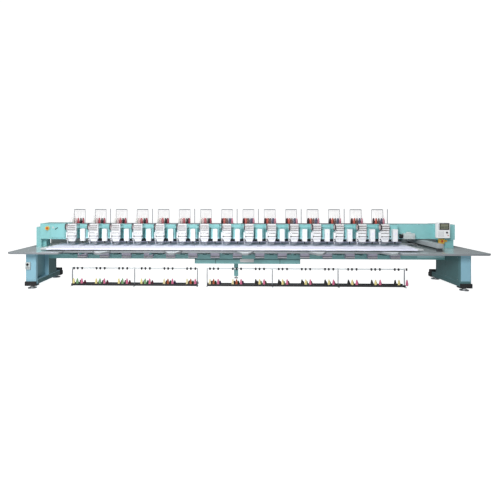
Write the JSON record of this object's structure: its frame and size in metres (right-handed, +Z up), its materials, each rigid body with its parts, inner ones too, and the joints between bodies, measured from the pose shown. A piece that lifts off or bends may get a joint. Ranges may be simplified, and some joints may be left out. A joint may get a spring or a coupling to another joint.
{
  "type": "embroidery machine",
  "caption": "Long floor-standing mixed embroidery machine with flat multi-needle heads, chenille heads, moving fabric frame, table, thread racks and control panel.",
  "frame": {"origin": "on the floor under the middle of the table", "axes": "+X to the operator's right along the table, +Y from the operator to the back, +Z up"},
  "size_m": [9.9, 1.77, 1.677],
  "materials": {
    "teal_paint": "satin",
    "white_enamel": "gloss",
    "table_laminate": "gloss",
    "black_rubber": "matt",
    "galvanised": "satin",
    "polished_steel": "polished",
    "aluminium": "satin anodised",
    "fabric": "plain weave",
    "black_plastic": "matt",
    "brown_plastic": "satin",
    "grey_paint": "satin",
    "white_plastic": "satin",
    "yellow_plastic": "satin",
    "red_plastic": "gloss",
    "thread_upper": "wound thread",
    "thread_lower": "wound yarn"
  },
  "bodies": {
    "machine_frame": {"left_end_frame": "teal_paint", "right_end_frame": "teal_paint", "foot_blocks": "black_rubber", "levelling_pads": "galvanised", "lower_beam": "teal_paint", "centre_leg": "teal_paint", "table_bearers": "teal_paint", "table_wings": "table_laminate", "table_middle": "table_laminate", "upper_beam": "teal_paint", "end_towers": "teal_paint", "left_housing": "teal_paint", "right_housing": "teal_paint", "rear_duct": "teal_paint", "head_arms": "teal_paint", "chenille_arms": "teal_paint", "chenille_covers": "white_enamel", "hook_beds": "galvanised", "needle_plates": "polished_steel", "rotary_hooks": "polished_steel", "chenille_boxes": "white_enamel", "y_rails": "polished_steel", "x_drive_cover": "grey_paint", "drive_motor": "grey_paint", "shaft_bearings": "galvanised", "case_rail": "polished_steel", "rack_frames": "galvanised", "upper_cones": "thread_upper", "lower_racks": "black_plastic", "lower_guides": "grey_paint", "lower_cones": "thread_lower", "panel_bracket": "galvanised", "stop_stations": "yellow_plastic", "leg_switch_box": "grey_paint"},
    "needle_case_unit": {"needle_cases": "white_enamel", "tension_panels": "white_enamel", "tension_knobs": "brown_plastic", "needle_bars": "polished_steel", "colour_change_bar": "aluminium"},
    "active_needle_bars": {"active_needle_bars": "polished_steel"},
    "presser_feet": {"presser_feet": "polished_steel"},
    "take_up_levers": {"take_up_levers": "polished_steel"},
    "chenille_needle_bars": {"chenille_needle_bars": "black_plastic"},
    "sequin_units": {"sequin_units": "white_plastic"},
    "sequin_reels": {"sequin_reels": "brown_plastic"},
    "y_carriages": {"y_carriages": "aluminium"},
    "pantograph": {"pantograph_frame": "aluminium", "corner_brackets": "white_enamel", "fabric": "fabric"},
    "main_shaft": {"main_shaft": "polished_steel"},
    "lower_shaft": {"lower_shaft": "polished_steel"},
    "motor_pulley": {"motor_pulley": "black_plastic"},
    "housing_door": {"housing_door": "teal_paint"},
    "housing_lever": {"housing_lever": "black_plastic"},
    "panel_arm": {"panel_arm": "galvanised"},
    "control_panel": {"control_panel": "white_plastic"},
    "panel_knob": {"panel_knob": "black_plastic"},
    "right_stop_button": {"right_stop_button": "red_plastic"},
    "left_stop_button": {"left_stop_button": "red_plastic"},
    "leg_switch": {"leg_switch": "black_plastic"}
  },
  "joints": [
    {"name": "colour_change", "type": "slide", "parent": "machine_frame", "child": "needle_case_unit", "axis": [1, 0, 0], "range_m": [-0.048, 0.048]},
    {"name": "needle_stroke", "type": "slide", "parent": "needle_case_unit", "child": "active_needle_bars", "axis": [0, 0, 1], "range_m": [-0.0307, 0]},
    {"name": "presser_lift", "type": "slide", "parent": "needle_case_unit", "child": "presser_feet", "axis": [0, 0, 1], "range_m": [-0.009, 0]},
    {"name": "take_up_swing", "type": "hinge", "parent": "needle_case_unit", "child": "take_up_levers", "pos_m": [0, -0.05, 1.095], "axis": [1, 0, 0], "range_deg": [-5, 45]},
    {"name": "chenille_needle_stroke", "type": "slide", "parent": "machine_frame", "child": "chenille_needle_bars", "axis": [0, 0, 1], "range_m": [-0.0307, 0]},
    {"name": "sequin_lift", "type": "slide", "parent": "needle_case_unit", "child": "sequin_units", "axis": [0, 0, 1], "range_m": [0, 0.025]},
    {"name": "sequin_reel_spin", "type": "hinge", "parent": "sequin_units", "child": "sequin_reels", "pos_m": [0, -0.11, 1.29], "axis": [1, 0, 0], "continuous": true},
    {"name": "pantograph_y", "type": "slide", "parent": "machine_frame", "child": "y_carriages", "axis": [0, 1, 0], "range_m": [-0.3, 0.24]},
    {"name": "pantograph_x", "type": "slide", "parent": "y_carriages", "child": "pantograph", "axis": [1, 0, 0], "range_m": [-0.2, 0.2]},
    {"name": "main_shaft_turn", "type": "hinge", "parent": "machine_frame", "child": "main_shaft", "pos_m": [0, 0.38, 1.1675], "axis": [1, 0, 0], "continuous": true},
    {"name": "lower_shaft_turn", "type": "hinge", "parent": "machine_frame", "child": "lower_shaft", "pos_m": [0, 0.17, 0.611], "axis": [1, 0, 0], "continuous": true},
    {"name": "motor_turn", "type": "hinge", "parent": "machine_frame", "child": "motor_pulley", "pos_m": [0, 0.165, 1.0725], "axis": [1, 0, 0], "continuous": true},
    {"name": "door_swing", "type": "hinge", "parent": "machine_frame", "child": "housing_door", "pos_m": [-4.081, -0.0071, 0], "axis": [0, 0, 1], "range_deg": [0, 90]},
    {"name": "door_lever_turn", "type": "hinge", "parent": "housing_door", "child": "housing_lever", "pos_m": [-4.297, 0, 1.23], "axis": [0, 1, 0], "range_deg": [-60, 30]},
    {"name": "panel_swivel", "type": "hinge", "parent": "machine_frame", "child": "panel_arm", "pos_m": [4.355, 0.015, 0], "axis": [0, 0, 1], "range_deg": [-30, 30]},
    {"name": "panel_tilt", "type": "hinge", "parent": "panel_arm", "child": "control_panel", "pos_m": [0, -0.05, 1.225], "axis": [1, 0, 0], "range_deg": [-12, 12]},
    {"name": "panel_knob_turn", "type": "hinge", "parent": "control_panel", "child": "panel_knob", "pos_m": [4.433, 0, 1.178], "axis": [0, 1, 0], "continuous": true},
    {"name": "right_stop_press", "type": "slide", "parent": "machine_frame", "child": "right_stop_button", "axis": [0, 1, 0], "range_m": [0, 0.006], "stiffness_N_per_m": 800},
    {"name": "left_stop_press", "type": "slide", "parent": "machine_frame", "child": "left_stop_button", "axis": [0, 1, 0], "range_m": [0, 0.006], "stiffness_N_per_m": 800},
    {"name": "leg_switch_turn", "type": "hinge", "parent": "machine_frame", "child": "leg_switch", "pos_m": [-4.625, 0, 0.525], "axis": [0, 1, 0], "range_deg": [0, 90]}
  ],
  "couplings": [
    {"joint": "presser_lift", "follows": "needle_stroke", "ratio": 0.29},
    {"joint": "take_up_swing", "follows": "needle_stroke", "rad_per_m": -24},
    {"joint": "chenille_needle_stroke", "follows": "needle_stroke", "ratio": 1},
    {"joint": "lower_shaft_turn", "follows": "main_shaft_turn", "ratio": 1},
    {"joint": "motor_turn", "follows": "main_shaft_turn", "ratio": 2}
  ]
}
